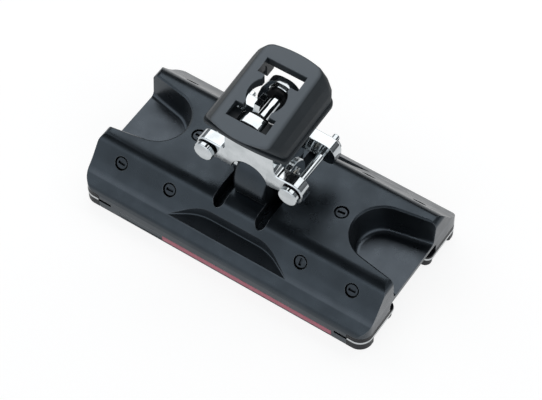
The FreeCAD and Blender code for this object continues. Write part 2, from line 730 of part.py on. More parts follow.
def snap_ring(outer, inner, origin, axis, up):
    """A flat retaining ring with a gap, CLIP_T thick along its axis."""
    ring = Part.makeCylinder(outer, CLIP_T, origin, axis)
    ring = ring.cut(Part.makeCylinder(inner, CLIP_T, origin, axis))
    across = axis.cross(up)
    half = math.radians(CLIP_GAP_DEG / 2)
    corners = [
        origin,
        origin.add(up * (2 * outer * math.cos(half))).add(across * (2 * outer * math.sin(half))),
        origin.add(up * (2 * outer * math.cos(half))).sub(across * (2 * outer * math.sin(half))),
        origin,
    ]
    return ring.cut(Part.Face(Part.makePolygon(corners)).extrude(axis * CLIP_T))


def mainsheet_pin():
    head_in = -(CHEEK_INNER + CHEEK_T - EAR_SEAT_DEPTH)
    groove = BACK_EAR_Y + 0.1
    tail = groove + CLIP_T + TAIL_PAST_CLIP
    stations = [
        (head_in - MAIN_HEAD_T, MAIN_HEAD_R - 0.4),
        (head_in - MAIN_HEAD_T + 0.4, MAIN_HEAD_R),
        (head_in, MAIN_HEAD_R),
        (head_in, MAIN_PIN_R),
        (groove, MAIN_PIN_R),
        (groove, MAIN_PIN_R - GROOVE_DEPTH),
        (groove + CLIP_T, MAIN_PIN_R - GROOVE_DEPTH),
        (groove + CLIP_T, MAIN_PIN_R),
        (tail - 0.4, MAIN_PIN_R),
        (tail, MAIN_PIN_R - 0.4),
    ]
    return turned(stations, vec(0, 0, MAIN_PIN_Z), vec(0, 1, 0))


def mainsheet_clip():
    return snap_ring(CLIP_OUTER_R, MAIN_PIN_R - GROOVE_DEPTH, vec(0, BACK_EAR_Y + 0.1, MAIN_PIN_Z),
                     vec(0, 1, 0), vec(0, 0, -1))


def pin_washer():
    """The plastic washer inside the back ear; the block's post turns between two of them."""
    start = vec(0, MAIN_BOSS_INNER - WASHER_T, MAIN_PIN_Z)
    end = vec(0, MAIN_BOSS_INNER, MAIN_PIN_Z)
    return rod(start, end, WASHER_R).cut(rod(start, end, MAIN_PIN_R + RUN_FIT))


def pivot_pin():
    side = BOSS_HALF + WEB_GAP + EYE_T + 0.4
    stations = [
        (-side - PIVOT_HEAD_T, PIVOT_HEAD_R - PIN_BREAK),
        (-side - PIVOT_HEAD_T + PIN_BREAK, PIVOT_HEAD_R),
        (-side, PIVOT_HEAD_R),
        (-side, PIVOT_PIN_R),
        (side, PIVOT_PIN_R),
        (side, PIVOT_PIN_R - GROOVE_DEPTH),
        (side + CLIP_T, PIVOT_PIN_R - GROOVE_DEPTH),
        (side + CLIP_T, PIVOT_PIN_R),
        (side + CLIP_T + TAIL_PAST_CLIP - PIN_BREAK, PIVOT_PIN_R),
        (side + CLIP_T + TAIL_PAST_CLIP, PIVOT_PIN_R - PIN_BREAK),
    ]
    return turned(stations, vec(0, 0, PIVOT_Z), vec(1, 0, 0))


def pivot_clip():
    side = BOSS_HALF + WEB_GAP + EYE_T + 0.4
    return snap_ring(PIVOT_CLIP_R, PIVOT_PIN_R - GROOVE_DEPTH, vec(side, 0, PIVOT_Z), vec(1, 0, 0), vec(0, 0, 1))


def bowed_corner(half, edge, bulge, radius, way):
    """The right-hand corner where a bowed edge meets a straight side: the points of its arc, and where the
    bow touches it. way is -1 at the front and +1 at the back."""
    bow_r = (half ** 2 + bulge ** 2) / (2 * bulge)
    bow_y = edge + way * (bulge - bow_r)
    corner_x = half - radius
    corner_y = bow_y + way * math.sqrt((bow_r - radius) ** 2 - corner_x ** 2)
    share = bow_r / (bow_r - radius)
    touch_x = corner_x * share
    touch_y = bow_y + (corner_y - bow_y) * share
    turn = math.atan2(touch_y - corner_y, touch_x - corner_x) / 2
    crown_x = corner_x + radius * math.cos(turn)
    crown_y = corner_y + radius * math.sin(turn)
    return (touch_x, touch_y), (crown_x, crown_y), (half, corner_y)


def boot_loop(half, front, back, bulge, front_r, back_r, height, slope):
    """One level of the boot: bowed front and back edges, straight sides and rounder back corners."""

    def place(x, y):
        return vec(x, y, height + slope * y)

    def arc(*points):
        return Part.Arc(*[place(x, y) for x, y in points]).toShape()

    def line(start, end):
        return Part.LineSegment(place(*start), place(*end)).toShape()

    def left(point):
        return (-point[0], point[1])

    front_touch, front_crown, front_side = bowed_corner(half, front, bulge, front_r, -1)
    back_touch, back_crown, back_side = bowed_corner(half, back, BOOT_BACK_BOW, back_r, 1)
    return Part.Wire([
        arc(left(front_touch), (0, front - bulge), front_touch),
        arc(front_touch, front_crown, front_side),
        line(front_side, back_side),
        arc(back_side, back_crown, back_touch),
        arc(back_touch, (0, back + BOOT_BACK_BOW), left(back_touch)),
        arc(left(back_touch), left(back_crown), left(back_side)),
        line(left(back_side), left(front_side)),
        arc(left(front_side), left(front_crown), left(front_touch)),
    ])


def boot_window():
    """The keyhole window: an oblong over each ear, a round room between them, and a neck that joins them."""
    low = BOOT_BRIM_Z + BOOT_BRIM_T
    high = BOOT_TOP_Z + 20
    front_end = WINDOW_FRONT_Y + WINDOW_EAR_DEPTH
    back_end = WINDOW_BACK_Y - WINDOW_EAR_DEPTH
    front = box(-WINDOW_HALF, WINDOW_HALF, WINDOW_FRONT_Y, front_end, low, high)
    back = box(-WINDOW_HALF, WINDOW_HALF, back_end, WINDOW_BACK_Y, low, high)
    neck = box(-WINDOW_NECK_HALF, WINDOW_NECK_HALF, front_end - 1, back_end + 1, low, high)
    room = rod(vec(0, WINDOW_ROUND_Y, low), vec(0, WINDOW_ROUND_Y, high), WINDOW_ROUND_R)
    return front.fuse([back, neck, room]).removeSplitter()


def boot_room():
    """The hollow under the boot that the toggle's head fills, open behind for fitting the pin."""
    seat_y = CHEEK_INNER + CHEEK_T + BOOT_SEAT_GAP

    def level(half, z):
        corners = [(half, -seat_y, 4.0), (half, seat_y, 4.0), (-half, seat_y, 4.0), (-half, -seat_y, 4.0)]
        return rounded_loop(corners, lambda x, y: vec(x, y, z))

    bottom_z = BOOT_BRIM_Z - BOOT_BRIM_SLOPE * BOOT_BRIM_BACK_Y - 2.0
    top_z = BOOT_TOP_Z - BOOT_TOP_SLOPE * seat_y - BOOT_TOP_WALL
    low = level(BOOT_FOOT_HALF - BOOT_SIDE_WALL, bottom_z)
    hollow = Part.makeLoft([low, level(BOOT_TOP_HALF - BOOT_SIDE_WALL, top_z)], True, True)
    gate = box(-BOOT_GATE_HALF, BOOT_GATE_HALF, seat_y - 4.5, BOOT_TOP_BACK_Y + 3 * BOOT_BACK_BOW, bottom_z,
               BOOT_TOP_Z - BOOT_GATE_DROP)
    return hollow.fuse(gate)


def ear_shelf():
    """The ledge inside the boot that closes the window on both sides of the front ear."""
    seat_y = CHEEK_INNER + CHEEK_T + BOOT_SEAT_GAP
    top_z = BOOT_TOP_Z - EAR_SHELF_DROP
    ledge = box(-BOOT_TOP_HALF, BOOT_TOP_HALF, -seat_y - 1, WINDOW_FRONT_Y + WINDOW_EAR_DEPTH,
                top_z - EAR_SHELF_T, top_z)
    right = [
        (SHOULDER_HALF + BOOT_SEAT_GAP, SHOULDER_Z, 0),
        (EAR_HALF + BOOT_SEAT_GAP, EAR_SIDE_Z, 12.0),
        (EAR_CROWN_HALF + BOOT_SEAT_GAP, EAR_TOP_Z + BOOT_SEAT_GAP, EAR_CROWN_R + BOOT_SEAT_GAP),
    ]
    left = [(-x, z, radius) for x, z, radius in reversed(right)]
    return ledge.cut(slab(right + left, lambda x, z: vec(x, -seat_y, z), vec(0, seat_y, 0)))


def boot_level(share, inset):
    """The boot's outline at a share of the way from its foot to its top, drawn in by an inset."""
    foot_z = BOOT_BRIM_Z + BOOT_BRIM_T - 0.3
    swell = 4 * share * (1 - share)

    def between(foot, top):
        return foot + (top - foot) * share

    half = BOOT_FOOT_HALF + (BOOT_TOP_HALF - BOOT_FOOT_HALF) * share ** BOOT_SIDE_CURVE
    front = between(BOOT_FOOT_FRONT_Y, BOOT_TOP_FRONT_Y)
    back = between(BOOT_FOOT_BACK_Y, BOOT_TOP_BACK_Y) + BOOT_BACK_SWELL * swell
    bulge = between(BOOT_FOOT_BULGE, BOOT_TOP_BULGE)
    slope = between(BOOT_BRIM_SLOPE, BOOT_TOP_SLOPE)
    return boot_loop(half - inset, front + inset, back - inset, bulge, BOOT_FRONT_R - inset,
                     BOOT_BACK_R - inset, between(foot_z, BOOT_TOP_Z), slope)


def boot():
    height = BOOT_TOP_Z - BOOT_BRIM_Z - BOOT_BRIM_T
    rim_start = 1 - BOOT_RIM_R / height
    levels = [boot_level(rim_start * share, 0) for share in (0, 0.35, 0.7)]
    for turn in (0, 30, 60, 90):
        rise = BOOT_RIM_R * math.sin(math.radians(turn))
        inset = BOOT_RIM_R * (1 - math.cos(math.radians(turn)))
        levels.append(boot_level(rim_start + rise / height, inset))
    dome = Part.makeLoft(levels, True, True)
    brim_loop = boot_loop(BOOT_BRIM_HALF, BOOT_BRIM_FRONT_Y, BOOT_BRIM_BACK_Y, BOOT_BRIM_BULGE,
                          BOOT_FRONT_R, BOOT_BRIM_BACK_R, BOOT_BRIM_Z, BOOT_BRIM_SLOPE)
    brim = Part.Face(brim_loop).extrude(vec(0, 0, BOOT_BRIM_T))
    edges = [edge for edge in brim.Edges if edge.BoundBox.XLength > 0.1 or edge.BoundBox.YLength > 0.1]
    brim = brim.makeFillet(BOOT_BRIM_EDGE_R, edges)
    shell = dome.fuse(brim).cut([boot_room(), boot_window()])
    return shell.fuse(ear_shelf()).removeSplitter()


def write(name, shape):
    solids = shape if isinstance(shape, list) else [shape]
    found = [solid for one in solids for solid in one.Solids]
    if not isinstance(shape, list) and len(found) != 1:
        print(name, "has", len(found), "solids instead of one")
    whole = found[0] if len(found) == 1 else Part.makeCompound(found)
    whole.exportStep(os.path.join("parts", name + ".step"))
    box_of = whole.BoundBox
    print(name, "valid" if whole.isValid() else "not valid", len(found),
          "volume %.1f" % whole.Volume,
          "x %.2f..%.2f y %.2f..%.2f z %.2f..%.2f" % (box_of.XMin, box_of.XMax, box_of.YMin, box_of.YMax,
                                                      box_of.ZMin, box_of.ZMax))


def main():
    os.makedirs("parts", exist_ok=True)
    write("car_body", car_body())
    for side, word in ((-1, "front"), (1, "back")):
        screws = [screw(place, axis, SLOPE_SCREW_LENGTH - 0.5, turn)
                  for (place, axis), turn in zip(slope_screw_places(side), SLOPE_SCREW_TURNS)]
        write("slope_screws_" + word, screws)
        turn = (lambda one: one) if side > 0 else (lambda one: mirrored(one, "y"))
        write("race_strip_" + word, turn(race_strip()))
        write("load_balls_" + word, [turn(one) for one in load_balls()])
        write("skid_" + word, turn(skid()))
        for end, end_word in ((-1, "left"), (1, "right")):
            place = turn if end > 0 else (lambda one, turn=turn: mirrored(turn(one), "x"))
            write("end_guide_%s_%s" % (word, end_word), place(end_guide()))
            write("corner_band_%s_%s" % (word, end_word), place(band()))
    write("deck_screws", [screw(place, axis, DECK_SCREW_LENGTH - 0.5, turn)
                          for (place, axis), turn in zip(deck_screw_places(), DECK_SCREW_TURNS)])
    write("stripe", stripe())
    write("pivot_pin", pivot_pin())
    write("pivot_clip", pivot_clip())
    write("toggle", toggle())
    write("toggle_bush_right", toggle_bush())
    write("toggle_bush_left", mirrored(toggle_bush(), "x"))
    for sign, word in ((-1, "left"), (1, "right")):
        write("control_pin_" + word, control_pin(sign * CONTROL_X))
        write("control_ring_" + word, control_ring(sign * CONTROL_X))
    write("mainsheet_pin", mainsheet_pin())
    write("mainsheet_clip", mainsheet_clip())
    write("pin_washer_back", pin_washer())
    write("pin_washer_front", mirrored(pin_washer(), "y"))
    write("boot", boot())


main()
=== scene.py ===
# %% [markdown]
# Mainsheet traveller car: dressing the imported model.
# The car runs on ball bearings along a track across a yacht's cockpit. A polished toggle stands up in the
# middle of it, held upright by a moulded boot, and takes the mainsheet block on its pin. The CAD frame
# already has every hard shape, so Blender's work here is smooth shading, finishes, the few round things
# that repeat (screws, balls, split rings), and the light and camera.

# %% Load the frame
import math

import bmesh
import bpy
from mathutils import Matrix, Vector


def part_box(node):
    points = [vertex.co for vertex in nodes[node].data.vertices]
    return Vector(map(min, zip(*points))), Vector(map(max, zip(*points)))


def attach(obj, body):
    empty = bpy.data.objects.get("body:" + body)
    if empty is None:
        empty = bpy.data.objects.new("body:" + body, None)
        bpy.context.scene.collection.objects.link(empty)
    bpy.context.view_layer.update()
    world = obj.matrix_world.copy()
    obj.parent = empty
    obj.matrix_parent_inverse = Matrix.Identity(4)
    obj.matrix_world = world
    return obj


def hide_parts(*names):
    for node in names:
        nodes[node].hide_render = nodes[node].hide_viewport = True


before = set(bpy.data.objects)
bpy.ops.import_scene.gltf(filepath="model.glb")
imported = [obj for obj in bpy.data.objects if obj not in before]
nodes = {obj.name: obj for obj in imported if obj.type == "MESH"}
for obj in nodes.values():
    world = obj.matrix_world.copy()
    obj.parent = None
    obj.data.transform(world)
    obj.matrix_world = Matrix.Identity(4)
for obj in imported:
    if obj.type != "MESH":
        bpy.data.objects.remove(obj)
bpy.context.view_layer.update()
MM = 0.001

# %% [markdown]
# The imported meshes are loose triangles, so curved faces would show their facets. Joining the triangles and
# marking only the steep edges as sharp gives smooth shading without moving a vertex. This is a geometry-nodes
# modifier, because the mesh itself has to stay as the CAD made it.

# %% Smooth shading for the CAD pieces
SHARP_ANGLE = math.radians(31)
WELD_DISTANCE = 0.002 * MM


def make_smooth_group():
    """A node group that joins loose triangles, and shades smooth all but the steep edges."""
    group = bpy.data.node_groups.new("join_and_smooth", "GeometryNodeTree")
    group.interface.new_socket("Geometry", in_out="INPUT", socket_type="NodeSocketGeometry")
    group.interface.new_socket("Geometry", in_out="OUTPUT", socket_type="NodeSocketGeometry")
    start = group.nodes.new("NodeGroupInput")
    end = group.nodes.new("NodeGroupOutput")
    weld = group.nodes.new("GeometryNodeMergeByDistance")
    weld.inputs["Distance"].default_value = WELD_DISTANCE
    angle = group.nodes.new("GeometryNodeInputMeshEdgeAngle")
    steep = group.nodes.new("FunctionNodeCompare")
    steep.data_type = "FLOAT"
    steep.operation = "GREATER_THAN"
    steep.inputs["B"].default_value = SHARP_ANGLE
    soft_faces = group.nodes.new("GeometryNodeSetShadeSmooth")
    soft_faces.domain = "FACE"
    soft_faces.inputs["Shade Smooth"].default_value = True
    hard_edges = group.nodes.new("GeometryNodeSetShadeSmooth")
    hard_edges.domain = "EDGE"
    hard_edges.inputs["Shade Smooth"].default_value = False
    group.links.new(start.outputs["Geometry"], weld.inputs["Geometry"])
    group.links.new(weld.outputs["Geometry"], soft_faces.inputs["Geometry"])
    group.links.new(soft_faces.outputs["Geometry"], hard_edges.inputs["Geometry"])
    group.links.new(angle.outputs["Unsigned Angle"], steep.inputs["A"])
    group.links.new(steep.outputs["Result"], hard_edges.inputs["Selection"])
    group.links.new(hard_edges.outputs["Geometry"], end.inputs["Geometry"])
    return group


smooth_group = make_smooth_group()
for node in nodes.values():
    smoothing = node.modifiers.new("join_and_smooth", "NODES")
    smoothing.node_group = smooth_group
print("smoothed", len(nodes), "nodes")

# %% [markdown]
# A finish is a Principled shader whose colour, roughness and bump vary a little with noise in object
# coordinates. The helper keeps the constant values on the shader's own sockets and only links what really
# varies over the surface. Noise seldom comes near 0 or 1, so its middle is stretched over the whole range.

# %% A helper for finishes
COAT_ROUGHNESS = 0.1
COLOUR_NOISE_LOW = 0.35
COLOUR_NOISE_HIGH = 0.65
ROUGHNESS_NOISE_LOW = 0.3
ROUGHNESS_NOISE_HIGH = 0.7


def finish(name, colour, roughness, metallic=0.0, coat=0.0, specular=0.5):
    """A material with its shader; returns the material, its node tree and the shader."""
    material = bpy.data.materials.new(name)
    material.use_nodes = True
    tree = material.node_tree
    shader = tree.nodes["Principled BSDF"]
    shader.inputs["Base Color"].default_value = (*colour, 1.0)
    shader.inputs["Roughness"].default_value = roughness
    shader.inputs["Metallic"].default_value = metallic
    shader.inputs["Coat Weight"].default_value = coat
    shader.inputs["Coat Roughness"].default_value = COAT_ROUGHNESS
    shader.inputs["Specular IOR Level"].default_value = specular
    return material, tree, shader


def noise_field(tree, scale, detail=3.0, stretch=(1.0, 1.0, 1.0)):
    """Noise in object coordinates; scale is in cycles a metre, stretched along an axis where asked."""
    place = tree.nodes.new("ShaderNodeTexCoord")
    mapping = tree.nodes.new("ShaderNodeMapping")
    mapping.inputs["Scale"].default_value = stretch
    noise = tree.nodes.new("ShaderNodeTexNoise")
    noise.inputs["Scale"].default_value = scale
    noise.inputs["Detail"].default_value = detail
    tree.links.new(place.outputs["Object"], mapping.inputs["Vector"])
    tree.links.new(mapping.outputs["Vector"], noise.inputs["Vector"])
    return noise.outputs["Fac"]


def map_field(tree, field, low, high, to_low=0.0, to_high=1.0):
    """A field stretched evenly from one range to another, and held at the ends."""
    spread = tree.nodes.new("ShaderNodeMapRange")
    spread.inputs["From Min"].default_value = low
    spread.inputs["From Max"].default_value = high
    spread.inputs["To Min"].default_value = to_low
    spread.inputs["To Max"].default_value = to_high
    tree.links.new(field, spread.inputs["Value"])
    return spread.outputs["Result"]


def blend_colour(tree, shader, field, dark, light):
    """Colour that runs from dark to light with a field."""
    ramp = tree.nodes.new("ShaderNodeValToRGB")
    ramp.color_ramp.elements[0].position = COLOUR_NOISE_LOW
    ramp.color_ramp.elements[1].position = COLOUR_NOISE_HIGH
    ramp.color_ramp.elements[0].color = (*dark, 1.0)
    ramp.color_ramp.elements[1].color = (*light, 1.0)
    tree.links.new(field, ramp.inputs["Fac"])
    tree.links.new(ramp.outputs["Color"], shader.inputs["Base Color"])


def vary_roughness(tree, shader, field, low, high):
    """Roughness that runs from low to high with a field."""
    spread = map_field(tree, field, ROUGHNESS_NOISE_LOW, ROUGHNESS_NOISE_HIGH, low, high)
    tree.links.new(spread, shader.inputs["Roughness"])


def add_bump(tree, shader, field, height_mm, strength):
    """Small height differences that only the shading shows."""
    bump = tree.nodes.new("ShaderNodeBump")
    bump.inputs["Distance"].default_value = height_mm * MM
    bump.inputs["Strength"].default_value = strength
    tree.links.new(field, bump.inputs["Height"])
    tree.links.new(bump.outputs["Normal"], shader.inputs["Normal"])


def dress(material, *names):
    """Gives CAD nodes one material."""
    for name in names:
        node = nodes[name]
        node.data.materials.clear()
        node.data.materials.append(material)


# %% [markdown]
# A real machined or moulded edge is never a perfect knife edge: it has a small break that catches light, and
# it is where a finish rubs off first. The shader's Bevel node rounds the normal near an edge without touching
# the mesh, and the angle between that normal and the flat one is a mask that is bright only along edges.
# Where the body's colour is made paler along this mask, that is partly worn finish and partly a painted
# highlight.

# %% Helpers for edges and for bands of height
SHADER_SAMPLES = 6
FLAT_AGREEMENT = 0.975
EDGE_AGREEMENT = 0.82
MIX_FIRST_COLOUR = 6
MIX_SECOND_COLOUR = 7
MIX_RESULT_COLOUR = 2


def soften_edges(tree, shader, radius_mm):
    """Rounds the shading near edges; returns a field that is 0 on flats and rises along edges."""
    soft = tree.nodes.new("ShaderNodeBevel")
    soft.samples = SHADER_SAMPLES
    soft.inputs["Radius"].default_value = radius_mm * MM
    flat = tree.nodes.new("ShaderNodeNewGeometry")
    agree = tree.nodes.new("ShaderNodeVectorMath")
    agree.operation = "DOT_PRODUCT"
    tree.links.new(soft.outputs["Normal"], agree.inputs[0])
    tree.links.new(flat.outputs["Normal"], agree.inputs[1])
    bump = [link.from_node for link in tree.links if link.to_socket == shader.inputs["Normal"]][0]
    tree.links.new(soft.outputs["Normal"], bump.inputs["Normal"])
    return map_field(tree, agree.outputs["Value"], FLAT_AGREEMENT, EDGE_AGREEMENT)


def height_band(tree, axis_weights, low_mm, high_mm):
    """A field that rises from 0 to 1 as a weighted sum of X, Y and Z goes from one size to another."""
    place = tree.nodes.new("ShaderNodeTexCoord")
    weigh = tree.nodes.new("ShaderNodeVectorMath")
    weigh.operation = "DOT_PRODUCT"
    weigh.inputs[1].default_value = axis_weights
    tree.links.new(place.outputs["Object"], weigh.inputs[0])
    return map_field(tree, weigh.outputs["Value"], low_mm * MM, high_mm * MM)


def both_fields(tree, one, other):
    """A field that is high only where both fields are."""
    product = tree.nodes.new("ShaderNodeMath")
    product.operation = "MULTIPLY"
    tree.links.new(one, product.inputs[0])
    tree.links.new(other, product.inputs[1])
    return product.outputs["Value"]


def mix_colour(tree, driver, field, colour):
    """A driven colour that turns into a fixed one where a field is high."""
    mix = tree.nodes.new("ShaderNodeMix")
    mix.data_type = "RGBA"
    mix.inputs[MIX_SECOND_COLOUR].default_value = (*colour, 1.0)
    tree.links.new(driver, mix.inputs[MIX_FIRST_COLOUR])
    tree.links.new(field, mix.inputs["Factor"])
    return mix.outputs[MIX_RESULT_COLOUR]


def tint_where(tree, shader, field, colour):
    """Mixes what already drives a shader's colour towards one colour where a field is high."""
    base = shader.inputs["Base Color"]
    driver = [link.from_socket for link in tree.links if link.to_socket == base][0]
    tree.links.new(mix_colour(tree, driver, field, colour), base)


# %% [markdown]
# Gaps, slots and corners are darker where shade falls in them, and that shade is painted into the colour.
# Ambient occlusion measures how shut in a point is over a millimetre or two, so it says where such shade
# lies, and the colour is darkened there.

# %% A helper for painted shade in recesses
OPEN_SHARE = 0.85
SHUT_IN_SHARE = 0.35


def paint_recess_shade(tree, shader, reach_mm, shade_colour):
    """Paints shade: darkens the colour where the surface is shut in by its neighbours."""
    openness = tree.nodes.new("ShaderNodeAmbientOcclusion")
    openness.samples = SHADER_SAMPLES
    openness.inputs["Distance"].default_value = reach_mm * MM
    amount = map_field(tree, openness.outputs["AO"], OPEN_SHARE, SHUT_IN_SHARE)
    tint_where(tree, shader, amount, shade_colour)


# %% [markdown]
# Hard-anodised aluminium is a dark blue-grey ceramic skin on bead-blasted metal. The skin has almost no
# colour of its own, and what is seen is mostly a soft reflection, so a nearly metallic shader with a very
# dark base suits it better than black paint would. A faint mottle, a fine tooth and paler broken edges keep
# the big slopes from looking like plastic; the paler edges are partly wear and partly a painted highlight.
# The colour is also made paler in a narrow band at the height of the milled pocket floors, and darker in
# gaps and recesses as painted shade.

# %% Hard-anodised car body
UPWARDS = (0, 0, 1)
POCKET_FLOOR_MM = 24.1
NO_FLOOR_ABOVE_MM = POCKET_FLOOR_MM + 3.0
FULL_FLOOR_BELOW_MM = POCKET_FLOOR_MM + 0.5
NO_FLOOR_BELOW_MM = POCKET_FLOOR_MM - 1.0
FULL_FLOOR_ABOVE_MM = POCKET_FLOOR_MM - 0.4
anodised, tree, shader = finish("hard_anodised_black", (0.04, 0.049, 0.058), roughness=0.3, metallic=0.9)
blend_colour(tree, shader, noise_field(tree, scale=40, detail=4),
             dark=(0.034, 0.042, 0.050), light=(0.043, 0.053, 0.063))
vary_roughness(tree, shader, noise_field(tree, scale=90, detail=5), low=0.25, high=0.34)
add_bump(tree, shader, noise_field(tree, scale=3200, detail=2), height_mm=0.008, strength=0.4)
# The colour is paler in a narrow band of height at the pocket floors.
not_above = height_band(tree, UPWARDS, NO_FLOOR_ABOVE_MM, FULL_FLOOR_BELOW_MM)
not_below = height_band(tree, UPWARDS, NO_FLOOR_BELOW_MM, FULL_FLOOR_ABOVE_MM)
tint_where(tree, shader, both_fields(tree, not_above, not_below), (0.060, 0.071, 0.083))
# Painted highlight and wear: the colour turns paler along the edges.
tint_where(tree, shader, soften_edges(tree, shader, radius_mm=0.5), (0.16, 0.175, 0.19))
# Painted shade: the colour darkens in gaps, round the screws and in recesses.
paint_recess_shade(tree, shader, reach_mm=1.7, shade_colour=(0.010, 0.013, 0.016))
dress(anodised, "car_body")
print("body finish:", anodised.name)

# %% [markdown]
# The toggle and pins are investment-cast or turned stainless, buffed to a mirror. Buffing leaves the faintest
# waviness and hairlines, so the roughness drifts a little and a long stretched noise stands for the
# hairlines. The clips, rings and corner bands are bright rolled metal, and the screws are black oxide.

# %% Polished, rolled and blackened metal
polished, tree, shader = finish("polished_stainless", (0.51, 0.54, 0.555), roughness=0.08, metallic=1.0)
blend_colour(tree, shader, noise_field(tree, scale=70),
             dark=(0.44, 0.47, 0.485), light=(0.56, 0.59, 0.605))
hairlines = noise_field(tree, scale=500, stretch=(1.0, 1.0, 0.12))
vary_roughness(tree, shader, hairlines, low=0.05, high=0.11)
add_bump(tree, shader, noise_field(tree, scale=120, detail=2), height_mm=0.03, strength=0.5)
soften_edges(tree, shader, radius_mm=0.35)
# Painted shade: the steel's colour darkens near corners and where it is shut in.
paint_recess_shade(tree, shader, reach_mm=3.5, shade_colour=(0.17, 0.18, 0.185))
dress(polished, "toggle", "control_pin_left", "control_pin_right", "mainsheet_pin", "pivot_pin")

rolled, tree, shader = finish("bright_rolled_stainless", (0.48, 0.50, 0.51), roughness=0.24, metallic=1.0)
rolling_lines = noise_field(tree, scale=900, stretch=(0.1, 0.1, 1.0))
vary_roughness(tree, shader, rolling_lines, low=0.2, high=0.34)
dress(rolled, "pivot_clip", "mainsheet_clip", "corner_band_front_left", "corner_band_front_right",
      "corner_band_back_left", "corner_band_back_right", "control_ring_left", "control_ring_right")

oxide, tree, shader = finish("black_oxide_screws", (0.038, 0.045, 0.053), roughness=0.3, metallic=0.9)
blend_colour(tree, shader, noise_field(tree, scale=900),
             dark=(0.033, 0.040, 0.047), light=(0.045, 0.053, 0.062))
vary_roughness(tree, shader, noise_field(tree, scale=700), low=0.22, high=0.36)
# Painted shade: the slots and the gaps round the heads are darkened.
paint_recess_shade(tree, shader, reach_mm=1.5, shade_colour=(0.002, 0.003, 0.004))
dress(oxide, "slope_screws_front", "slope_screws_back", "deck_screws")
print("metals:", polished.name, rolled.name, oxide.name)

# %% [markdown]
# The boot is a moulded elastomer. Its top panel is painted much paler than its flanks, as painted light: the
# panel faces the light and the flanks below it are in shade. A band of height along the sloping panel blends
# one into the other over the panel's rim. The guides and skids are a smoother acetal, the races are pale
# bearing plastic, and the stripe is a thin red film.

# %% Mouldings, balls and film
PANEL_SLOPE = 0.154
PANEL_START_MM = 131.5
PANEL_FULL_MM = 132.9
boot_skin, tree, shader = finish("boot_moulding", (0.022, 0.027, 0.031), roughness=0.5, specular=0.22)
blend_colour(tree, shader, noise_field(tree, scale=60),
             dark=(0.020, 0.025, 0.029), light=(0.025, 0.031, 0.036))
vary_roughness(tree, shader, noise_field(tree, scale=1500), low=0.42, high=0.56)
add_bump(tree, shader, noise_field(tree, scale=2600), height_mm=0.03, strength=0.6)
# Painted light: the panel's colour is much paler than the shaded flanks.
lit_panel = height_band(tree, (0, -PANEL_SLOPE, 1), PANEL_START_MM, PANEL_FULL_MM)
tint_where(tree, shader, lit_panel, (0.149, 0.170, 0.190))
dress(boot_skin, "boot")

acetal, tree, shader = finish("black_acetal", (0.009, 0.010, 0.012), roughness=0.42, specular=0.15)
vary_roughness(tree, shader, noise_field(tree, scale=800), low=0.36, high=0.5)
dress(acetal, "skid_front", "skid_back", "end_guide_front_left", "end_guide_front_right",
      "end_guide_back_left", "end_guide_back_right", "pin_washer_front", "pin_washer_back")

bearing, tree, shader = finish("bearing_plastic", (0.6, 0.58, 0.52), roughness=0.42)
blend_colour(tree, shader, noise_field(tree, scale=150, detail=4),
             dark=(0.55, 0.53, 0.47), light=(0.64, 0.62, 0.56))
flow_lines = noise_field(tree, scale=900, stretch=(0.08, 1.0, 1.0))
vary_roughness(tree, shader, flow_lines, low=0.34, high=0.5)
dress(bearing, "race_strip_front", "race_strip_back", "toggle_bush_left", "toggle_bush_right")

ball_finish, tree, shader = finish("ball_plastic", (0.42, 0.33, 0.16), roughness=0.22, coat=0.3)
blend_colour(tree, shader, noise_field(tree, scale=400, detail=4),
             dark=(0.36, 0.28, 0.13), light=(0.46, 0.37, 0.19))
dress(ball_finish, "load_balls_front", "load_balls_back")

stripe_film, tree, shader = finish("red_film", (0.26, 0.028, 0.062), roughness=0.35, coat=0.15)
blend_colour(tree, shader, noise_field(tree, scale=300),
             dark=(0.235, 0.024, 0.055), light=(0.285, 0.032, 0.07))
vary_roughness(tree, shader, noise_field(tree, scale=600), low=0.3, high=0.42)
dress(stripe_film, "stripe")
print("mouldings:", boot_skin.name, acetal.name, bearing.name, ball_finish.name, stripe_film.name)

# %% [markdown]
# The screws are cheese heads with a broad slot that stops short of the rim. The CAD has them in the right
# places with a narrow slot, so each is measured there, and its head is remade: a short cylinder whose rim is
# bevelled, whose face is inset, cut by four planes into a rectangle, and pushed in along that rectangle.

# %% Slotted screws
SLOT_WIDTH = 2.0 * MM
SLOT_LENGTH = 5.4 * MM
SLOT_DEPTH = 1.4 * MM
SLOT_WALL_LEAN = 0.03 * MM
HEAD_THICKNESS = 2.6 * MM
HEAD_RADIUS = 4.2 * MM
HEAD_SEGMENTS = 48
SHANK_RADIUS = 2.5 * MM
SHANK_TAPER = 0.01 * MM
RIM_ROUND = 0.5 * MM
RIM_STEPS = 3
SCREW_SPACING = 5.0 * MM
SAME_PLANE = 0.01 * MM
SAME_POINT = 0.001 * MM
LEANING_UP = 0.5
ALMOST_SQUARE = 0.1
ALMOST_LEVEL = 0.99


def screws_apart(node):
    """Splits a node's triangles into one list for each screw, by the gaps along X."""
    mesh = node.data
    mesh.calc_loop_triangles()
    flats = sorted(mesh.loop_triangles, key=lambda flat: sum(mesh.vertices[v].co.x for v in flat.vertices))
    groups = []
    last = None
    for flat in flats:
        corners = [mesh.vertices[v].co.copy() for v in flat.vertices]
        x = sum(corner.x for corner in corners) / 3
        if last is None or x - last > SCREW_SPACING:
            groups.append([])
        last = x
        groups[-1].append((corners, flat.normal.copy(), flat.area))
    return groups


def widest_normal(flats):
    """The normal that the largest area of some triangles shares."""
    areas = {}
    for _corners, normal, area in flats:
        key = tuple(round(value, 2) for value in normal)
        total, _same = areas.get(key, (0.0, normal))
        areas[key] = (total + area, normal)
    return max(areas.values(), key=lambda entry: entry[0])[1]


